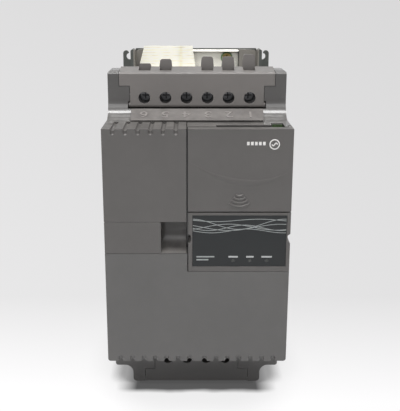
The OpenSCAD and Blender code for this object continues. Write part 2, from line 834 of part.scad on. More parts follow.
// Ring core with its winding, standing on the board
module filter_choke() {
    color([0.62, 0.36, 0.16]) translate([38, power_board_y - 13, -52]) rotate([0, 90, 0])
        rotate_extrude() translate([9.4, 0]) circle(3.6);
}

module charge_relay() {
    color([0.10, 0.16, 0.34]) box(24, 44, power_board_y - 22, power_board_y, -32, -14);
}

module supply_transformer() {
    color([0.16, 0.15, 0.14]) {
        box(22, 52, power_board_y - 6, power_board_y, 8, 40);
        box(27, 47, power_board_y - 24, power_board_y - 5.9, 12, 36);
    }
    color([0.72, 0.55, 0.18]) box(24, 50, power_board_y - 20, power_board_y - 8, 17, 31);
}

module current_sensors() {
    color(dark_grey) for (x = row(3, 26)) difference() {
        box(x - 9, x + 9, power_board_y - 14, power_board_y, 56, 76);
        rod_z(x, power_board_y - 7, 3.2, 55, 77);
    }
}

// ---- cooling ----

module heat_sink() {
    color([0.70, 0.71, 0.72]) difference() {
        union() {
            box(-half_w + 1, half_w - 1, case_back, case_back + 8, fin_low, fin_top);
            for (x = row(fin_count, 105 / (fin_count - 1))) {
                box(x - fin_t / 2, x + fin_t / 2, case_back + 7, -5, fin_low, fin_top);
            }
            boxes_x(sink_screw_x - 2.6, sink_screw_x + 2.6, case_back + 7, -5, fin_low, fin_top);
        }
        for (x = [-sink_screw_x, sink_screw_x], z = [-60, 60]) rod_y(x, z, 1.7, -14, -4);
        for (x = [-case_screw_x, case_screw_x], z = [-case_screw_z, case_screw_z]) {
            rod_y(x, z, 1.75, case_back - 1, case_back + 9);
        }
    }
}

module fan_frames() {
    color([0.11, 0.11, 0.12]) for (side = [-1, 1]) translate([side * fan_x, fan_y, fan_low]) {
        difference() {
            translate([-fan_side / 2, -fan_side / 2, 0]) cube([fan_side, fan_side, fan_h]);
            translate([0, 0, -1]) cylinder(r = fan_side / 2 - 1.6, h = fan_h + 2);
            for (x = [-20.5, 20.5], y = [-20.5, 20.5]) rod_z(x, y, 1.6, -1, fan_h + 1);
        }
        // motor seat on three struts, with the fixed shaft
        translate([0, 0, fan_h - 2]) cylinder(r = 10.5, h = 2);
        for (a = [30, 150, 270]) rotate([0, 0, a]) box(9, fan_side / 2 - 1.2, -1.2, 1.2, fan_h - 2, fan_h);
        translate([0, 0, 3]) cylinder(r = shaft_r, h = fan_h - 4);
    }
}

module fan_rotor(side) {
    color([0.09, 0.09, 0.10]) translate([side * fan_x, fan_y, fan_low]) difference() {
        union() {
            translate([0, 0, 1]) cylinder(r = 10, h = fan_h - 3.6);
            for (i = [0:blade_count - 1]) rotate([0, 0, i * 360 / blade_count])
                translate([8.6, 0, fan_h / 2 - 0.9]) rotate([38, 0, 0])
                    translate([0, -6, -0.7]) cube([13, 12, 1.4]);
        }
        translate([0, 0, 2.4]) cylinder(r = shaft_r + run_gap, h = fan_h);
    }
}

module fan_cover() {
    color(dark_grey) {
        difference() {
            box(-54, 54, fan_y - 27.4, fan_y + 24.4, -129.6, -127.4);
            for (side = [-1, 1]) translate([side * fan_x, fan_y, -131]) {
                for (r = [[11, 14.6], [16.4, 19.4], [21.2, 23.4]]) difference() {
                    cylinder(r = r[1], h = 6);
                    translate([0, 0, -1]) cylinder(r = r[0], h = 8);
                    for (a = [0, 60, 120]) rotate([0, 0, a]) translate([-30, -1, -1]) cube([60, 2, 8]);
                }
            }
        }
        // clips that grip the fan frames
        for (side = [-1, 1]) box(side * 52.6 - 0.8, side * 52.6 + 0.8, fan_y - 8, fan_y + 8, -127.5, -116);
    }
}

// ---- back of the drive ----

// Ear with a hole that opens to the end through a slit, so that the drive can drop on to fitted screws,
// and a hooked rib in front of it
module open_ear(side) {
    slit_x = mount_w / 2 + 0.6;   // outer side of the slit
    tip_r = (ear_x - slit_x) / 2;
    rib_x = 51.9;
    rib_r = 1.55;
    rib_z = 129.1;
    mirror([side < 0 ? 1 : 0, 0, 0]) {
        slab(-ear_t, 0) difference() {
            union() {
                rect(mount_w / 2 - 6, ear_x, 108, ear_z - tip_r);
                translate([ear_x - tip_r, ear_z - tip_r]) circle(tip_r);
                rect(mount_w / 2 - 6, slit_x, 108, ear_z - tip_r);
            }
            translate([mount_w / 2, mount_h / 2]) circle(mount_r);
            rect(slit_x - 2, slit_x, mount_h / 2, ear_z + 1);
        }
        slab(-30, -14) {
            rect(rib_x, rib_x + 2 * rib_r, 111, rib_z);
            translate([rib_x + rib_r, rib_z]) circle(rib_r);
        }
        box(rib_x, rib_x + 1.6, -14.1, -ear_t, 111, rib_z);
    }
}

module closed_ear(side) {
    mirror([side < 0 ? 1 : 0, 0, 0]) slab(-ear_t, 0) difference() {
        union() {
            rect(mount_w / 2 - 6, ear_x, -124, -108);
            translate([ear_x - 6.4, -top_z + 6.4]) circle(6.4);
        }
        translate([mount_w / 2, -mount_h / 2]) circle(mount_r);
    }
}

// Block at one end of the airflow plate, with a bevelled outer corner
module end_block(side, near) {
    far = 52.3;
    mirror([side < 0 ? 1 : 0, 0, 0]) slab(-12, -4) polygon([
        [near, 112], [far, 112], [far, top_z - 2.4], [far - 1.8, top_z - 1], [near, top_z - 0.3]
    ]);
}

module mounting_frame() {
    color(case_grey) difference() {
        union() {
            box(-55.4, 55.4, -5, 0, -126.8, 125);
            box(-52.3, 52.3, -5, 0, 124, top_z);
            for (side = [-1, 1]) {
                open_ear(side);
                closed_ear(side);
            }
            end_block(1, 37);
            end_block(-1, 46);
        }
        for (side = [-1, 1]) rod_y(side * mount_w / 2, mount_h / 2, mount_r, -6, 1);
        box(-46, 46, -9, 1, -104, 104);
        for (x = [-sink_screw_x, sink_screw_x], z = [-60, 60]) {
            rod_y(x, z, 1.75, -6, 1);
            rod_y(x, z, 3.3, -2.2, 1);
        }
        rod_y(earth_x, earth_z, 2.05, -6, 1);
    }
}

module airflow_plate() {
    lip_r = 2;
    color([0.80, 0.80, 0.78]) difference() {
        beam(-45.6, 36.6) {
            rect(-5 - plate_t, -5, fin_top, plate_top - lip_r);
            rect(-20, -5, fin_top, fin_top + plate_t);
            difference() {
                translate([-5 - lip_r, plate_top - lip_r]) circle(lip_r);
                translate([-5 - lip_r, plate_top - lip_r]) circle(lip_r - plate_t);
                rect(-12, -5, 120, plate_top - lip_r);
            }
        }
        rod_y(earth_x, earth_z, 2.05, -9, -4);
    }
}

module earth_screw() {
    color(brass) {
        difference() {
            rod_y(earth_x, earth_z, 4, -10.3, -7.1);
            cross_slot(earth_x, earth_z, -10.3, 1.4, 5.6);
        }
        rod_y(earth_x, earth_z, 2, -7.2, -0.6);
    }
}

module earth_marker() {
    color([0.25, 0.55, 0.30]) difference() {
        rod_y(earth_x, earth_z, 5, -7.1, -6.3);
        rod_y(earth_x, earth_z, 2.1, -9, -6);
    }
}

// Plain paper slip tucked behind the terminals
module paper_slip() {
    low = fin_top + plate_t;
    top = 132.6;
    color([0.95, 0.93, 0.85]) slab(-12.9, -12.3) polygon([[-50.2, low], [0, low], [-2.9, top], [-44.4, top]]);
}

module case_screws() {
    color(steel) for (x = [-case_screw_x, case_screw_x], z = [-case_screw_z, case_screw_z]) {
        rod_y(x, z, 3, case_back + 8, case_back + 10.6);
        rod_y(x, z, 1.7, case_back - 11, case_back + 8.2);
    }
}

module frame_screws() {
    color(steel) for (x = [-sink_screw_x, sink_screw_x], z = [-60, 60]) difference() {
        union() {
            rod_y(x, z, 3.2, -2.2, -0.2);
            rod_y(x, z, 1.7, -13.5, -2);
        }
        translate([x, 0, z]) for (a = [0, 90]) rotate([0, a, 0]) box(-0.45, 0.45, -1.4, 1, -2.2, 2.2);
    }
}

case_body();
left_front_cover();
grip_insert();
control_cover();
display_cover();
display_panel();
display_latch(-1);  // display_latch_left
display_latch(1);  // display_latch_right
display_board();
status_lights();
motor_terminal_cover();
mains_terminal_cover();
marking_strip(48.4, front_top, 1);  // motor_marking_strip
marking_strip(33.4, -front_low, -1);  // mains_marking_strip
terminal_block(motor_poles, motor_hole_z, 1);  // motor_terminal_block
terminal_clamps(motor_poles, motor_hole_z);  // motor_terminal_clamps
terminal_screws(motor_poles, motor_hole_z);  // motor_terminal_screws
terminal_block(mains_poles, mains_hole_z, -1);  // mains_terminal_block
terminal_clamps(mains_poles, mains_hole_z);  // mains_terminal_clamps
terminal_screws(mains_poles, mains_hole_z);  // mains_terminal_screws
control_board();
control_terminal_block();
relay_terminal_block();
control_terminal_screws();
network_port();
selector_switch();
selector_slider(-2.4);  // selector_slider_1
selector_slider(2.4);  // selector_slider_2
control_board_standoffs();
control_board_screws();
insulation_barrier();
ribbon_cable();
power_board();
power_board_standoffs();
power_module();
rectifier_module();
dc_capacitors();
filter_choke();
charge_relay();
supply_transformer();
current_sensors();
heat_sink();
fan_frames();
fan_rotor(-1);  // fan_rotor_left
fan_rotor(1);  // fan_rotor_right
fan_cover();
mounting_frame();
airflow_plate();
earth_screw();
earth_marker();
paper_slip();
case_screws();
frame_screws();
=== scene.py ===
"""Looks of a wall-mounted variable frequency drive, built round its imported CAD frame."""

import json
import math
import random

import bmesh
import bpy
from mathutils import Matrix, Vector


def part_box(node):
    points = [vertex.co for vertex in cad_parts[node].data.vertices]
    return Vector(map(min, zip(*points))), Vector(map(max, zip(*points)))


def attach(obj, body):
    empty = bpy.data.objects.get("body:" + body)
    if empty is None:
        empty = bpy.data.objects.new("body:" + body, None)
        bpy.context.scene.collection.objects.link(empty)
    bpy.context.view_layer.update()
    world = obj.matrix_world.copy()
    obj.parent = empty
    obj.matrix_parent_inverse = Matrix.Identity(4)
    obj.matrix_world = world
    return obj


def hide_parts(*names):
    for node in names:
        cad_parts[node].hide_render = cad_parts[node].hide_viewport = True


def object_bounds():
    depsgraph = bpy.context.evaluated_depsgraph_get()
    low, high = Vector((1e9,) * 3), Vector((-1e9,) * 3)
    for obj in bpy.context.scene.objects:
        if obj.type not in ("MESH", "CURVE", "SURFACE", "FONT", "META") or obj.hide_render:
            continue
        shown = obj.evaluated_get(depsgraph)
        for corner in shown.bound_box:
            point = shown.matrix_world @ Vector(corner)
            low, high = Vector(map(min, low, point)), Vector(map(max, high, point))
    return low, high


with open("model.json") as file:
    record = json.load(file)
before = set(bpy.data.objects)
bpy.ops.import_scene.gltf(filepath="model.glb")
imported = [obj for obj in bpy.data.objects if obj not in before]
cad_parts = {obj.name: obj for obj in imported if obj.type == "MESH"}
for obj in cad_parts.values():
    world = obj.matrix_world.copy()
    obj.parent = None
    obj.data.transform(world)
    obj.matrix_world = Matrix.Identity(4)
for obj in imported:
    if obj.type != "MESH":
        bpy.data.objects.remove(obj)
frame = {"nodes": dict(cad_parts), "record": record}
CAD_LOW, CAD_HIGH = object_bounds()
NODES = frame["nodes"]
MM = 0.001
TAU = 2 * math.pi

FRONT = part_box("left_front_cover")[0].y
COVER_LOW, COVER_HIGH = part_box("control_cover")
PANEL_LOW, PANEL_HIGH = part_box("display_panel")
POLE_PITCH = 15.4 * MM              # from one power terminal to the next
STRIP_SLOPE = math.radians(19.3)    # of the marking strips
FOLD_FROM_LEFT = 37 * MM            # where the paper slip is folded
BOARD_THICK = 1.6 * MM
PRINT_PROUD, PRINT_SUNK = 0.05 * MM, 0.1 * MM


# ---------------------------------------------------------------- shader helpers

class Tree:
    """The node tree of one material."""

    def __init__(self, name):
        self.material = bpy.data.materials.new(name)
        self.material.use_nodes = True
        self.nodes = self.material.node_tree.nodes
        self.links = self.material.node_tree.links
        self.nodes.clear()
        self.output = self.nodes.new("ShaderNodeOutputMaterial")
        self.surface = self.nodes.new("ShaderNodeBsdfPrincipled")
        self.links.new(self.surface.outputs["BSDF"], self.output.inputs["Surface"])
        self.point = self.add("ShaderNodeTexCoord").outputs["Object"]

    def plug(self, socket, value):
        """Feeds an input from another node's output, or sets it to a value."""
        if isinstance(value, bpy.types.NodeSocket):
            self.links.new(value, socket)
        elif value is not None:
            socket.default_value = value

    def add(self, kind, inputs=None, **settings):
        node = self.nodes.new(kind)
        for key, value in settings.items():
            setattr(node, key, value)
        for key, value in (inputs or {}).items():
            self.plug(node.inputs[key], value)
        return node

    def set(self, **inputs):
        """Feeds the Principled shader; underscores in a name stand for spaces."""
        for key, value in inputs.items():
            self.plug(self.surface.inputs[key.replace("_", " ")], value)

    def math(self, operation, a, b=None, clamp=False):
        node = self.add("ShaderNodeMath", operation=operation, use_clamp=clamp)
        for socket, value in zip(node.inputs, (a, b)):
            self.plug(socket, value)
        return node.outputs[0]

    def axis(self, letter, vector=None):
        """One coordinate of a vector, by default of the object point."""
        return self.add("ShaderNodeSeparateXYZ", {"Vector": vector or self.point}).outputs[letter]

    def stretch(self, factors, turn=(0, 0, 0)):
        """The object point, scaled along each axis."""
        node = self.add("ShaderNodeMapping", {"Vector": self.point, "Scale": factors, "Rotation": turn})
        return node.outputs["Vector"]

    def noise(self, size_mm, detail=3, roughness=0.55, where=None):
        """Noise from 0 to 1 whose blobs are about size_mm across."""
        node = self.add("ShaderNodeTexNoise", {
            "Vector": where or self.point, "Scale": 1 / (size_mm * MM),
            "Detail": detail, "Roughness": roughness})
        return node.outputs["Fac"]

    def ramp(self, value, low, high, out_low=0.0, out_high=1.0):
        node = self.add("ShaderNodeMapRange", {
            "Value": value, "From Min": low, "From Max": high, "To Min": out_low, "To Max": out_high})
        return node.outputs["Result"]

    def mix(self, share, a, b, blend="MIX"):
        node = self.add("ShaderNodeMix", data_type="RGBA", blend_type=blend)
        self.plug(node.inputs[0], share)
        self.plug(node.inputs[6], a)
        self.plug(node.inputs[7], b)
        return node.outputs[2]

    def bump(self, height, depth_mm, strength=1.0, under=None):
        node = self.add("ShaderNodeBump", {
            "Height": height, "Strength": strength, "Distance": depth_mm * MM, "Normal": under})
        return node.outputs["Normal"]

    def edges(self, radius_mm):
        """1 on a sharp edge, falling to 0 on flat ground."""
        bevel = self.add("ShaderNodeBevel", {"Radius": radius_mm * MM}, samples=4)
        flat = self.add("ShaderNodeNewGeometry").outputs["Normal"]
        dot = self.add("ShaderNodeVectorMath", {0: bevel.outputs["Normal"], 1: flat}, operation="DOT_PRODUCT")
        return self.ramp(dot.outputs["Value"], 0.98, 0.72)

    def facing_up(self):
        normal = self.add("ShaderNodeNewGeometry").outputs["Normal"]
        return self.ramp(self.axis("Z", normal), 0.3, 0.95)

    def hollow(self, reach_mm):
        """0 deep inside a corner, rising to 1 in the open; the mask for painted shade."""
        return self.add("ShaderNodeAmbientOcclusion", {"Distance": reach_mm * MM}, samples=8).outputs["AO"]


def rgb(colour, factor=1.0):
    """A colour scaled by a factor, with full alpha."""
    return (*[min(1.0, c * factor) for c in colour[:3]], 1.0)


# ---------------------------------------------------------------- materials

def plastic(name, colour, rough=0.5, grain_mm=0.45, grain_depth=0.012, dust_and_top_light=0.3, wear=0.35, coat=0.0,
            patch=None, patch_colour=None):
    """Moulded plastic: sandy grain, faint mottling, painted shade in corners and deep recesses, a dusty film
    on upward faces that is also painted light from above, worn edges, maybe a gloss.

    patch is a function of the tree that gives the share of patch_colour, for a piece of two colours.
    """
    t = Tree(name)
    mottle = t.noise(38, 4)
    cloud = t.noise(7, 5, 0.6)
    grain = t.noise(grain_mm, 2)
    speck = t.noise(grain_mm * 3.1, 3, 0.7)
    base = t.mix(t.ramp(mottle, 0.3, 0.7), rgb(colour, 0.95), rgb(colour, 1.06))
    if patch:
        base = t.mix(patch(t), base, rgb(patch_colour))
    base = t.mix(t.ramp(cloud, 0.35, 0.75, 0, 0.4), base, (0.92, 0.92, 0.92, 1), "MULTIPLY")
    base = t.mix(t.ramp(speck, 0.6, 0.8, 0, 0.25), base, rgb(colour, 1.3))
    # painted shade: darker in tight corners and, more strongly, deep inside recesses and holes
    base = t.mix(t.ramp(t.hollow(1.2), 0.6, 0.25, 0, 0.4), base, rgb(colour, 0.45))
    base = t.mix(t.ramp(t.hollow(14), 0.55, 0.2, 0, 0.85), base, rgb(colour, 0.30))
    worn = t.math("MULTIPLY", t.edges(0.7), t.ramp(t.noise(5, 3), 0.42, 0.62, 0, wear))
    base = t.mix(worn, base, rgb([c * 1.6 + 0.02 for c in colour]))
    # dusty film on upward faces, lighter than the plastic; it is also painted light from above
    dust_and_top_light_share = t.math("MULTIPLY", t.facing_up(), t.ramp(t.noise(9, 5, 0.65), 0.35, 0.7, 0.15 * dust_and_top_light, dust_and_top_light))
    base = t.mix(dust_and_top_light_share, base, (0.42, 0.40, 0.37, 1))
    roughness = t.ramp(cloud, 0.3, 0.7, rough - 0.04, rough + 0.05)
    roughness = t.math("ADD", roughness, t.math("MULTIPLY", dust_and_top_light_share, 0.3))
    roughness = t.math("SUBTRACT", roughness, t.math("MULTIPLY", worn, 0.2), clamp=True)
    normal = t.bump(grain, grain_depth, 0.8)
    normal = t.bump(mottle, 0.25, 0.2, normal)
    t.set(Base_Color=base, Roughness=roughness, Normal=normal, Coat_Weight=coat, Coat_Roughness=0.10)
    return t.material


def end_blocks(t):
    """1 on the two raised end blocks of the mounting frame, 0 elsewhere."""
    inside = t.math("LESS_THAN", t.math("ABSOLUTE", t.axis("X")), 52.6 * MM)
    return t.math("MULTIPLY", inside, t.math("LESS_THAN", t.axis("Y"), -5.5 * MM))


def film(name, colour):
    """Printed polyester film: dark and satin, with faint wiping marks."""
    t = Tree(name)
    wiped = t.noise(26, 3, 0.5, t.stretch((0.5, 1, 1.6)))
    speck = t.noise(0.7, 2, 0.7)
    base = t.mix(t.ramp(wiped, 0.3, 0.8), rgb(colour, 0.94), rgb(colour, 1.1))
    base = t.mix(t.ramp(speck, 0.66, 0.8, 0, 0.3), base, rgb(colour, 1.8))
    t.set(Base_Color=base, Roughness=t.ramp(wiped, 0.3, 0.75, 0.34, 0.42),
          Normal=t.bump(t.noise(1.2, 2), 0.006))
    return t.material


def metal(name, colour, rough=0.3, grain=(1, 1, 30), scratch=0.5, tarnish=0.2, sheen=1.0):
    """Metal with a brushed or drawn grain along one axis, fine scratches, a little tarnish and painted shade
    in its hollows.
    """
    t = Tree(name)
    brushed = t.noise(1.6, 4, 0.6, t.stretch(grain))
    patch = t.noise(16, 4, 0.6)
    base = t.mix(t.ramp(patch, 0.35, 0.75, 0, tarnish), rgb(colour), rgb(colour, 0.55))
    base = t.mix(t.ramp(brushed, 0.4, 0.7, 0, 0.25), base, rgb(colour, 1.2))
    base = t.mix(t.math("MULTIPLY", t.edges(0.4), 0.4), base, rgb(colour, 1.35))
    # painted shade: darker in corners, nearly black deep inside holes
    base = t.mix(t.ramp(t.hollow(4), 0.7, 0.2, 0, 0.6), base, rgb(colour, 0.25))
    base = t.mix(t.ramp(t.hollow(16), 0.5, 0.2, 0, 0.9), base, rgb(colour, 0.05))
    t.set(Base_Color=base, Metallic=sheen, Roughness=t.ramp(brushed, 0.3, 0.7, rough - 0.07, rough + 0.1),
          Normal=t.bump(brushed, 0.02, scratch))
    return t.material


def board(name, colour):
    """Circuit board: green mask over copper tracks, with bright solder pads."""
    t = Tree(name)
    brick = t.add("ShaderNodeTexBrick", {
        "Vector": t.stretch((1, 0, 1), (math.pi / 2, 0, 0)), "Scale": 1 / (9 * MM), "Mortar Size": 0.04,
        "Color1": (0, 0, 0, 1), "Color2": (0.1, 0.1, 0.1, 1), "Mortar": (1, 1, 1, 1)},
        offset=0.37, squash=1.6)
    tracks = brick.outputs["Color"]
    pads = t.add("ShaderNodeTexVoronoi", {"Vector": t.point, "Scale": 1 / (3.2 * MM), "Randomness": 0.55})
    pad = t.ramp(pads.outputs["Distance"], 0.2, 0.16)
    base = t.mix(t.ramp(t.noise(20, 3), 0.3, 0.7), rgb(colour, 0.8), rgb(colour, 1.2))
    base = t.mix(t.math("MULTIPLY", tracks, 0.6), base, rgb(colour, 1.9))
    base = t.mix(pad, base, (0.62, 0.60, 0.55, 1))
    t.set(Base_Color=base, Metallic=t.math("MULTIPLY", pad, 0.8), Roughness=0.36,
          Normal=t.bump(t.math("ADD", tracks, pad), 0.04, 0.7))
    return t.material


def paper(name, colour):
    """Thin uncoated paper with faint ruled lines, fibres and a yellowed fold; it lets some light through and
    glows faintly with painted light.
    """
    t = Tree(name)
    line_pitch = 2.3 * MM
    wobble = t.math("MULTIPLY", t.noise(11, 2), 0.0006)
    rows = t.math("SINE", t.math("MULTIPLY", t.math("ADD", t.axis("Z"), wobble), TAU / line_pitch))
    broken = t.ramp(t.noise(3.2, 2, 0.5, t.stretch((0.35, 1, 3))), 0.4, 0.55, 0, 0.45)
    rule = t.math("MULTIPLY", t.ramp(rows, 0.55, 0.95), broken)
    fold_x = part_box("paper_slip")[0].x + FOLD_FROM_LEFT
    fold = t.ramp(t.math("ABSOLUTE", t.math("SUBTRACT", t.axis("X"), fold_x)), 2.4 * MM, 0.2 * MM, 0, 0.4)
    fibre = t.noise(0.8, 4, 0.7)
    base = t.mix(t.ramp(fibre, 0.35, 0.7), rgb(colour, 0.97), rgb(colour, 1.03))
    base = t.mix(fold, base, (0.80, 0.72, 0.42, 1))
    base = t.mix(rule, base, (0.32, 0.31, 0.26, 1))
    # the emission is a painted glow that makes the paper look brighter than the lamps light it
    t.set(Base_Color=base, Roughness=0.85, Normal=t.bump(fibre, 0.03, 0.5), Subsurface_Weight=0.05,
          Emission_Color=base, Emission_Strength=0.18)
    return t.material


def ink(name, colour, rough=0.5):
    """Screen-printed ink: slightly uneven in tone and coverage."""
    t = Tree(name)
    thin = t.noise(0.9, 3, 0.6)
    t.set(Base_Color=t.mix(t.ramp(thin, 0.3, 0.75), rgb(colour, 0.82), rgb(colour, 1.06)), Roughness=rough,
          Normal=t.bump(thin, 0.01, 0.5))
    return t.material


MATERIALS = {
    "case_plastic": plastic("case_plastic", (0.082, 0.078, 0.075), 0.40, grain_depth=0.005, coat=0.8),
    "cover_plastic": plastic("cover_plastic", (0.098, 0.092, 0.088), 0.42, dust_and_top_light=0.28, coat=0.15),
    # a lighter copy of the cover plastic; its extra brightness is painted light for the top light on the
    # motor terminal cover
    "lid_plastic": plastic("lid_plastic", (0.174, 0.161, 0.152), 0.38, grain_depth=0.006, coat=0.4),
    "strip_plastic": plastic("strip_plastic", (0.150, 0.138, 0.133), 0.36, coat=0.3),
    "number_plastic": plastic("number_plastic", (0.25, 0.23, 0.22), 0.36),
    "dark_plastic": plastic("dark_plastic", (0.035, 0.037, 0.037), 0.5),
    "frame_plastic": plastic("frame_plastic", (0.075, 0.080, 0.072), patch=end_blocks,
                             patch_colour=(0.24, 0.225, 0.20)),
    "panel_film": film("panel_film", (0.009, 0.011, 0.012)),
    "clear_plastic": plastic("clear_plastic", (0.045, 0.048, 0.045), 0.25, dust_and_top_light=0, wear=0),
    "circuit_board": board("circuit_board", (0.045, 0.075, 0.03)),
    "terminal_grey": plastic("terminal_grey", (0.17, 0.18, 0.18), 0.45),
    "terminal_green": plastic("terminal_green", (0.035, 0.16, 0.045), 0.45),
    "switch_red": plastic("switch_red", (0.35, 0.02, 0.015), 0.4),
    "switch_white": plastic("switch_white", (0.7, 0.7, 0.66), 0.4),
    "insulator": plastic("insulator", (0.60, 0.60, 0.55), 0.35),
    "ribbon_grey": plastic("ribbon_grey", (0.35, 0.35, 0.34), 0.45),
    "package_black": plastic("package_black", (0.016, 0.016, 0.018), 0.45),
    "capacitor_sleeve": plastic("capacitor_sleeve", (0.012, 0.016, 0.035), 0.25),
    "winding_copper": metal("winding_copper", (0.55, 0.20, 0.07), 0.3, (8, 8, 8)),
    "relay_blue": plastic("relay_blue", (0.010, 0.030, 0.11), 0.35),
    "winding_tape": plastic("winding_tape", (0.45, 0.30, 0.03), 0.35),
    "steel": metal("steel", (0.42, 0.42, 0.43), 0.35),
    "plate_steel": metal("plate_steel", (0.95, 0.93, 0.85), 0.36, (20, 1, 1), sheen=0.35),
    "brass": metal("brass", (0.60, 0.45, 0.18), 0.3),
    "sink_aluminium": metal("sink_aluminium", (0.60, 0.61, 0.62), 0.35, (20, 20, 0.6)),
    "fan_black": plastic("fan_black", (0.013, 0.013, 0.014), 0.4),
    "marker_green": plastic("marker_green", (0.12, 0.24, 0.11), 0.45),
    "paper": paper("paper", (0.95, 0.92, 0.80)),
    "print_grey": ink("print_grey", (0.33, 0.35, 0.345)),
    "print_light": ink("print_light", (0.46, 0.47, 0.47)),
    "print_white": ink("print_white", (0.80, 0.78, 0.76)),
}


def dress(obj, material):
    """Gives a piece its one material."""
    obj.data.materials.clear()
    obj.data.materials.append(material)


for row in frame["record"]["subparts"]:
    dress(NODES[row["node"]], MATERIALS[row["material_slot"]])
# the lighter lid plastic is painted light on the motor terminal cover
dress(NODES["motor_terminal_cover"], MATERIALS["lid_plastic"])


# ---------------------------------------------------------------- rounded edges on the carried-over nodes

def soften(node, width_mm):
    """Rounds a CAD node's sharp edges a little."""
    obj = NODES[node]
    weld = obj.modifiers.new("weld", "WELD")
    weld.merge_threshold = 0.00001
    bevel = obj.modifiers.new("bevel", "BEVEL")
    bevel.width = width_mm * MM
    bevel.segments = 2
    bevel.limit_method = "ANGLE"
    bevel.angle_limit = math.radians(35)
    bevel.use_clamp_overlap = True
    bevel.miter_outer = "MITER_ARC"
    normals = obj.modifiers.new("normals", "WEIGHTED_NORMAL")
    normals.keep_sharp = True


EDGE_WIDTHS_MM = {
    0.6: ("case_body", "left_front_cover", "grip_insert", "control_cover", "display_cover"),
    0.4: ("motor_terminal_cover", "mains_terminal_cover", "mounting_frame", "fan_cover", "fan_frames"),
    0.25: ("motor_marking_strip", "mains_marking_strip", "motor_terminal_block", "mains_terminal_block",
           "control_terminal_block", "relay_terminal_block", "network_port", "airflow_plate", "heat_sink",
           "power_module", "rectifier_module", "charge_relay", "supply_transformer", "current_sensors"),
}
for width, names in EDGE_WIDTHS_MM.items():
    for name in names:
        soften(name, width)


# ---------------------------------------------------------------- mesh helpers

def add_mesh(name, bm, slot, body, smooth=40):
    """Makes a piece from a bmesh, in a record slot or a print material, riding on a body."""
    bmesh.ops.recalc_face_normals(bm, faces=bm.faces)
    mesh = bpy.data.meshes.new(name)
    bm.to_mesh(mesh)
    bm.free()
    mesh.shade_smooth()
    mesh.set_sharp_from_angle(angle=math.radians(smooth))
    obj = bpy.data.objects.new(name, mesh)
    bpy.context.scene.collection.objects.link(obj)
    dress(obj, MATERIALS[slot])
    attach(obj, body)
    return obj


def loft(bm, rings, cyclic=False):
    """Joins closed rings of points into a tube; the ends are capped unless it runs round."""
    rows = [[bm.verts.new(p) for p in ring] for ring in rings]
    pairs = list(zip(rows, rows[1:])) + ([(rows[-1], rows[0])] if cyclic else [])
    for a, b in pairs:
        for i in range(len(a)):
            j = (i + 1) % len(a)
            bm.faces.new((a[i], a[j], b[j], b[i]))
    if not cyclic:
        bm.faces.new(rows[0])
        bm.faces.new(reversed(rows[-1]))


def ribbon(bm, path, width, proud, sunk, cyclic=False):
    """A printed or moulded line: path gives x and z on a front face at y = path.y, with a rounded top."""
    rings = []
    count = len(path)
    out = Vector((0, -1, 0))
    for i, p in enumerate(path):
        before = path[(i - 1) % count if cyclic else max(i - 1, 0)]
        after = path[(i + 1) % count if cyclic else min(i + 1, count - 1)]
        along = (after - before).normalized()
        side = Vector((-along.z, 0, along.x)) * (width / 2)
        rings.append([p - side - out * sunk, p - side + out * proud * 0.5, p - side * 0.6 + out * proud,
                      p + side * 0.6 + out * proud, p + side + out * proud * 0.5, p + side - out * sunk])
    loft(bm, rings, cyclic)


def tube(bm, path, radius, points=10):
    """A round cable along a path."""
    rings = []
    angles = [TAU * k / points for k in range(points)]
    for i, p in enumerate(path):
        along = (path[min(i + 1, len(path) - 1)] - path[max(i - 1, 0)]).normalized()
        a = along.orthogonal().normalized()
        b = along.cross(a)
        rings.append([p + (a * math.cos(t) + b * math.sin(t)) * radius for t in angles])
    loft(bm, rings)


def block(bm, low, high, round_mm=0.2):
    """A box with rounded edges, between two corners in metres."""
    made = bmesh.ops.create_cube(bm, size=1)["verts"]
    low, high = Vector(low), Vector(high)
    for v in made:
        v.co = Vector([low[k] + (v.co[k] + 0.5) * (high[k] - low[k]) for k in range(3)])
    edges = list({e for v in made for e in v.link_edges})
    bmesh.ops.bevel(bm, geom=edges, offset=round_mm * MM, segments=2, affect="EDGES", clamp_overlap=True)


def smooth_path(points, steps=10):
    """Catmull-Rom curve through a few points."""
    points = [Vector(p) for p in points]
    ends = [points[0] * 2 - points[1]] + points + [points[-1] * 2 - points[-2]]
    path = []
    for a, b, c, d in zip(ends, ends[1:], ends[2:], ends[3:]):
        square, cube = 2 * a - 5 * b + 4 * c - d, 3 * b - a - 3 * c + d
        for i in range(steps):
            u = i / steps
            path.append(0.5 * (2 * b + (c - a) * u + square * u * u + cube * u ** 3))
    return path + [points[-1]]


def circle_y(x, y, z, radius, points):
    """Points of a circle that faces along y."""
    angles = [TAU * k / points for k in range(points)]
    return [Vector((x + radius * math.cos(a), y, z + radius * math.sin(a))) for a in angles]


def circle_z(x, y, z, radius, points):
    """Points of a circle that faces along z."""
    angles = [TAU * k / points for k in range(points)]
    return [Vector((x + radius * math.cos(a), y + radius * math.sin(a), z)) for a in angles]


# ---------------------------------------------------------------- moulded and printed detail

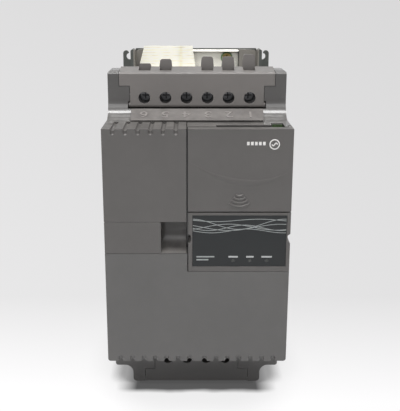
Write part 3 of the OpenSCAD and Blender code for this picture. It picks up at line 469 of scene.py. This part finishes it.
def crescent():
    """The shallow crowned crescent across the control cover."""
    x0, x1 = COVER_LOW.x + 1.5 * MM, COVER_HIGH.x - 3.5 * MM
    dip_x, dip_z = COVER_HIGH.x - 27 * MM, COVER_LOW.z + 20.3 * MM   # its lowest point
    stations, across, crown, widest, buried = 60, 8, 0.42 * MM, 4.4 * MM, 0.3 * MM
    bm = bmesh.new()
    rings = []
    for i in range(stations + 1):
        u = i / stations
        x = x0 + (x1 - x0) * u
        bend = 8.0 if x < dip_x else 13.5
        z = dip_z + bend * (x - dip_x) ** 2
        half = max(0.05 * MM, widest / 2 * math.sin(math.pi * u ** 1.25) ** 0.8)
        top = []
        for k in range(across + 1):
            v = -1 + 2 * k / across
            rise = crown * (1 - v * v) * half / (widest / 2)
            top.append(Vector((x, FRONT - rise, z + half * v)))
        base = [Vector((x, FRONT + buried, z + half)), Vector((x, FRONT + buried, z - half))]
        rings.append(top + base)
    loft(bm, rings)
    add_mesh("control_cover_crescent", bm, "cover_plastic", "control_lid", 30)


def panel_waves():
    """Six crossing lines printed across the upper part of the display panel."""
    x0, x1, top = PANEL_LOW.x + 0.2 * MM, PANEL_HIGH.x - 0.2 * MM, PANEL_HIGH.z
    # how far below the panel's upper edge, half height, length, place of the lowest point; all in mm
    waves = [(6.3, 3.7, 65, 28.6), (3.5, 0.9, 60, 13), (8.4, 2.2, 66, 55), (8.9, 2.0, 50, 58),
             (8.6, 2.3, 72, 22), (11.2, 1.4, 50, 10)]
    line, steps = 0.42 * MM, 70
    bm = bmesh.new()
    for drop, half, length, lowest in waves:
        path = []
        for i in range(steps + 1):
            x = x0 + (x1 - x0) * i / steps
            z = top - (drop + half * math.cos(TAU * (x / MM - lowest) / length)) * MM
            path.append(Vector((x, PANEL_LOW.y, z)))
        ribbon(bm, path, line, PRINT_PROUD, PRINT_SUNK)
    add_mesh("display_panel_waves", bm, "print_grey", "display")


def light_legends():
    """A plain bar over each status light, and a plain two-line mark at the left."""
    lights_low, lights_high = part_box("status_lights")
    half_light, above_lights, rounding_mm = 1.9 * MM, 2.9 * MM, 0.04
    first, last = lights_low.x + half_light, lights_high.x - half_light
    z = (lights_low.z + lights_high.z) / 2 + above_lights
    front, back = PANEL_LOW.y - PRINT_PROUD, PANEL_LOW.y + PRINT_SUNK
    bar_half_height, bar_lengths = 0.6 * MM, (6.6 * MM, 5.2 * MM, 7.4 * MM)
    bm = bmesh.new()
    for i, length in enumerate(bar_lengths):
        x = first + (last - first) * i / 2
        block(bm, (x - length / 2, front, z - bar_half_height),
              (x + length / 2, back, z + bar_half_height), rounding_mm)
    add_mesh("display_panel_legends", bm, "print_light", "display")
    left, line_half_height = PANEL_LOW.x + 2.8 * MM, 0.5 * MM
    bm = bmesh.new()
    for line_z, length in ((z, 12.6 * MM), (z - 2.2 * MM, 8.4 * MM)):
        block(bm, (left, front, line_z - line_half_height),
              (left + length, back, line_z + line_half_height), rounding_mm)
    add_mesh("display_panel_mark", bm, "print_grey", "display")


def badge():
    """A plain mark on the control cover: a ring round a wave, with a row of bars beside it."""
    centre = Vector((COVER_HIGH.x - 12.9 * MM, FRONT, COVER_HIGH.z - 10.4 * MM))
    ring_r, line, proud = 3.2 * MM, 0.75 * MM, 0.12 * MM
    bm = bmesh.new()
    ribbon(bm, circle_y(*centre, ring_r, 40), line, proud, PRINT_SUNK, cyclic=True)
    wave_half, wave_height, steps = 1.9 * MM, 0.9 * MM, 10
    turns = [i / steps for i in range(-steps, steps + 1)]
    wave = [centre + Vector((wave_half * u, 0, wave_height * math.sin(math.pi * u))) for u in turns]
    ribbon(bm, wave, line, proud, PRINT_SUNK)
    bars, first_bar, bar_pitch, bar_half = 5, 7 * MM, 2.7 * MM, 0.9 * MM
    bar_low, bar_high = centre.z - 0.6 * MM, centre.z + 1.8 * MM
    for i in range(bars):
        x = centre.x - first_bar - i * bar_pitch
        block(bm, (x - bar_half, FRONT - proud, bar_low), (x + bar_half, FRONT + PRINT_SUNK, bar_high), 0.08)
    add_mesh("control_cover_badge", bm, "print_white", "control_lid")


def strip_numbers(node, count, toward):
    """Raised terminal numbers on a sloping strip, upright when the drive hangs on its wall.

    toward is 1 for the strip at the drive's upper end and -1 for the one at its lower end.
    """
    low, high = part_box(node)
    half_depth = (high.y - low.y) / 2
    back_z = high.z if toward > 0 else low.z
    normal = Vector((0, -math.sin(STRIP_SLOPE), toward * math.cos(STRIP_SLOPE)))
    up = Vector((0, -toward * math.cos(STRIP_SLOPE), -math.sin(STRIP_SLOPE)))
    face = Matrix((Vector((-1, 0, 0)), up, normal)).transposed().to_4x4()
    middle = Vector((0, high.y - half_depth, back_z - toward * half_depth * math.tan(STRIP_SLOPE)))
    for i in range(count):
        name = f"{node}_number_{i + 1}"
        curve = bpy.data.curves.new(name, "FONT")
        curve.body = str(i + 1)
        curve.size = 13 * MM
        curve.extrude = 0.25 * MM
        curve.bevel_depth = 0.08 * MM
        curve.align_x = curve.align_y = "CENTER"
        piece = bpy.data.objects.new(name, curve)
        bpy.context.scene.collection.objects.link(piece)
        aside = Vector((((count - 1) / 2 - i) * POLE_PITCH, 0, 0))
        piece.matrix_world = Matrix.Translation(middle + aside) @ face
        curve.materials.append(MATERIALS["number_plastic"])
        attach(piece, "case")


def paper_sheet():
    """The paper slip as a thin sheet that bows and is folded once."""
    low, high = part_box("paper_slip")
    rows, columns, thick = 20, 40, 0.15 * MM
    lean_left, lean_right = 5.8 * MM, 3.1 * MM
    middle_y = (low.y + high.y) / 2
    fold = FOLD_FROM_LEFT / (high.x - low.x)
    rings = []
    for i in range(rows + 1):
        v = i / rows
        x0, x1 = low.x + lean_left * v, high.x - lean_right * v
        front, back = [], []
        for k in range(columns + 1):
            u = k / columns
            crease = 0.5 * MM * max(0.0, 1 - abs(u - fold) / 0.05)
            bow = 0.35 * MM * math.sin(math.pi * u) * v + 0.25 * MM * v * math.sin(TAU * u)
            y = middle_y + bow - crease * (0.3 + 0.7 * v)
            ragged = 0.175 * MM * math.sin(9 * u) if i == rows else 0
            x, z = x0 + (x1 - x0) * u, low.z + (high.z - low.z) * v + ragged
            front.append(Vector((x, y - thick / 2, z)))
            back.append(Vector((x, y + thick / 2, z)))
        rings.append(front + back[::-1])
    bm = bmesh.new()
    loft(bm, rings)
    piece = add_mesh("paper_sheet", bm, "paper", "case", 30)
    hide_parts("paper_slip")


def board_parts():
    """Chips with legs on the control board's front, in a seeded layout, and capacitors on its back."""
    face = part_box("control_board_standoffs")[1].y
    rear = face + BOARD_THICK
    dice = random.Random(7)
    chips, legs, cans = bmesh.new(), bmesh.new(), bmesh.new()
    spots = [(x, z) for x in (-44, -30, -16, -2) for z in (10, 22, 34, 46, 58, 70)]
    spots += [(x, 53) for x in (19, 31, 43, 55)]
    for x, z in spots:
        w, h = dice.choice([(3, 2.4), (4.5, 3.6), (2, 1.2), (6, 4.2)])
        x, z = x + dice.uniform(-3, 3), z + dice.uniform(-3, 3)
        block(chips, ((x - w / 2) * MM, face - 1.1 * MM, (z - h / 2) * MM),
              ((x + w / 2) * MM, face + 0.05 * MM, (z + h / 2) * MM))
        for k in range(int(w)):
            at = x - w / 2 + 0.5 + k
            block(legs, ((at - 0.16) * MM, face - 0.25 * MM, (z - h / 2 - 0.7) * MM),
                  ((at + 0.16) * MM, face + 0.03 * MM, (z + h / 2 + 0.7) * MM), 0.04)
    # height above the board and radius, from the foot of a can to its slightly dished top
    can_rings = [(0, 3.1), (0.6, 3.2), (5.2, 3.2), (5.6, 3.0), (5.6, 2.6), (5.5, 2.5)]
    for x, z in ((-50, 16), (-50, 28), (-44, 70), (-36, 70)):
        loft(cans, [circle_y(x * MM, rear + y * MM, z * MM, r * MM, 20) for y, r in can_rings])
    add_mesh("control_board_chips", chips, "package_black", "case")
    add_mesh("control_board_legs", legs, "steel", "case")
    add_mesh("control_board_capacitors", cans, "plate_steel", "case")


def fan_wires(side, away):
    """Two wires from a fan's hub seat into the case; away is the x direction that they turn from."""
    low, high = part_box(f"fan_rotor_{side}")
    x, y = (low.x + high.x) / 2, (low.y + high.y) / 2
    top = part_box("fan_frames")[1].z
    bm = bmesh.new()
    for k in (-0.8, 0.8):
        path = smooth_path([(x + k * MM, y - 9 * MM, top - 0.6 * MM),
                            (x + k * MM, y - 17 * MM, top + 0.9 * MM),
                            (x + (k - away * 6) * MM, y - 24.5 * MM, top + 1.2 * MM),
                            (x + (k - away * 14) * MM, y - 27.5 * MM, top - 3 * MM)])
        tube(bm, path, 0.65 * MM)
    add_mesh(f"fan_wires_{side}", bm, "package_black", "case")


def hub_label(side):
    """A plain round label on a fan's hub."""
    low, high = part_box(f"fan_rotor_{side}")
    x, y = (low.x + high.x) / 2, (low.y + high.y) / 2
    bm = bmesh.new()
    # z from the hub's outer face, which looks down, and radius
    label_rings = [(0.06, 8.6), (-0.06, 8.6), (-0.08, 8.4)]
    loft(bm, [circle_z(x, y, low.z + z * MM, r * MM, 48) for z, r in label_rings])
    add_mesh(f"fan_rotor_{side}_label", bm, "print_white", f"rotor_{side}")


crescent()
panel_waves()
light_legends()
badge()
strip_numbers("motor_marking_strip", 6, 1)
strip_numbers("mains_marking_strip", 4, -1)
paper_sheet()
board_parts()
for side, away in (("left", -1), ("right", 1)):
    fan_wires(side, away)
    hub_label(side)


# ---------------------------------------------------------------- stage

def camera():
    """The viewpoint in front of the drive, a little above its upper end."""
    data = bpy.data.cameras.new("camera")
    data.sensor_width = 36
    data.lens = 65.3
    data.shift_x = 0.0226
    data.clip_end = 20
    obj = bpy.data.objects.new("camera", data)
    bpy.context.scene.collection.objects.link(obj)
    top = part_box("left_front_cover")[1].z
    obj.location = (-0.0046, FRONT - 0.4958, top + 0.0855)
    obj.rotation_euler = (math.radians(90 - 15.63), 0, 0)
    bpy.context.scene.camera = obj


def softbox(name, location, target, size, power):
    """A rectangular white light that faces its target."""
    data = bpy.data.lights.new(name, "AREA")
    data.shape = "RECTANGLE"
    data.size, data.size_y = size
    data.energy = power
    obj = bpy.data.objects.new(name, data)
    bpy.context.scene.collection.objects.link(obj)
    obj.location = location
    obj.rotation_euler = (Vector(target) - Vector(location)).to_track_quat("-Z", "Y").to_euler()


def floor_material():
    """White sweep paper: where the camera looks at it, it glows, brighter near the front and fading towards
    the back, with a painted soft contact shadow.
    """
    t = Tree("floor_paper")
    fine = t.noise(60, 3)
    t.set(Base_Color=t.mix(fine, (0.80, 0.80, 0.80, 1), (0.84, 0.84, 0.84, 1)), Roughness=0.8)
    window = t.add("ShaderNodeTexCoord").outputs["Window"]
    up, across = t.axis("Y", window), t.axis("X", window)
    near, far = t.ramp(up, 0.02, 0.28, 1.30, 1.0), t.ramp(up, 0.3, 1.0, 0.79, 0.72)
    tone = t.math("MULTIPLY", near, far)
    tone = t.math("MULTIPLY", tone, t.ramp(across, 0.0, 1.0, 1.02, 0.97))
    # painted contact shadow: ambient occlusion darkens the paper next to the drive
    contact = t.add("ShaderNodeAmbientOcclusion", {"Distance": 0.024}, samples=24).outputs["AO"]
    wide = t.add("ShaderNodeAmbientOcclusion", {"Distance": 0.06}, samples=16).outputs["AO"]
    beside, depth = t.math("ABSOLUTE", t.axis("X")), t.axis("Y")
    deepest = t.ramp(beside, 0.046, 0.058, 0.10, 0.42)
    close = t.ramp(contact, 0.50, 0.80, deepest, 1.0)
    shade = t.math("MULTIPLY", close, t.ramp(wide, 0.50, 0.80, 0.85, 1.0))
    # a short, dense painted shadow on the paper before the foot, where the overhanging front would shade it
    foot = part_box("mains_terminal_cover")[0].y
    edge = t.math("ADD", depth, t.math("MULTIPLY", t.noise(28, 2), 0.006))
    under = t.math("MULTIPLY", t.ramp(beside, 0.066, 0.048), t.ramp(edge, foot - 0.014, foot - 0.006))
    under = t.math("MULTIPLY", under, t.ramp(depth, -0.03, -0.07))
    tone = t.math("MULTIPLY", tone, t.math("MINIMUM", shade, t.ramp(under, 0.0, 1.0, 1.0, 0.10)))
    grey = t.add("ShaderNodeCombineColor", {0: tone, 1: tone, 2: tone}).outputs[0]
    tint = t.mix(1.0, (1, 0.995, 1, 1), grey, "MULTIPLY")
    glow = t.add("ShaderNodeEmission", {"Color": tint, "Strength": 1.0})
    seen = t.add("ShaderNodeLightPath").outputs["Is Camera Ray"]
    blend = t.add("ShaderNodeMixShader", {0: seen, 1: t.surface.outputs[0], 2: glow.outputs[0]})
    t.links.new(blend.outputs[0], t.output.inputs["Surface"])
    return t.material


def stage():
    """A floor that curves up into a back wall."""
    floor_z = CAD_LOW.z
    half, rise, radius, steps, back = 3.0, 2.4, 0.9, 16, 1.1
    profile = [(-half, 0.0), (back, 0.0)]
    for i in range(1, steps + 1):
        a = math.pi / 2 * i / steps
        profile.append((back + radius * math.sin(a), radius * (1 - math.cos(a))))
    profile.append((back + radius, rise))
    bm = bmesh.new()
    rows = [[bm.verts.new((x, y, floor_z + z)) for y, z in profile] for x in (-half, half)]
    for i in range(len(profile) - 1):
        bm.faces.new((rows[0][i], rows[1][i], rows[1][i + 1], rows[0][i + 1]))
    mesh = bpy.data.meshes.new("floor")
    bm.to_mesh(mesh)
    bm.free()
    mesh.shade_smooth()
    obj = bpy.data.objects.new("floor", mesh)
    bpy.context.scene.collection.objects.link(obj)
    dress(obj, floor_material())


def lights():
    """One key light, one above that draws the bright lines in the hollows, two fills and a pale sky."""
    middle = (0, -0.1, 0.0)
    softbox("key", (-0.3, -1.6, 1.15), middle, (1.6, 0.7), 8.5)
    softbox("top", (0.0, -0.56, 1.7), (0, -0.12, 0.09), (1.2, 0.45), 26)
    softbox("left", (-1.8, -0.9, 0.7), middle, (0.9, 1.2), 5)
    softbox("right", (1.8, -0.9, 0.7), middle, (0.9, 1.2), 2.5)
    world = bpy.data.worlds.new("world")
    world.use_nodes = True
    sky = world.node_tree.nodes["Background"]
    sky.inputs["Color"].default_value = (0.86, 0.87, 0.90, 1)
    sky.inputs["Strength"].default_value = 0.34
    bpy.context.scene.world = world
    bpy.context.scene.view_settings.view_transform = "Standard"


camera()
stage()
lights()
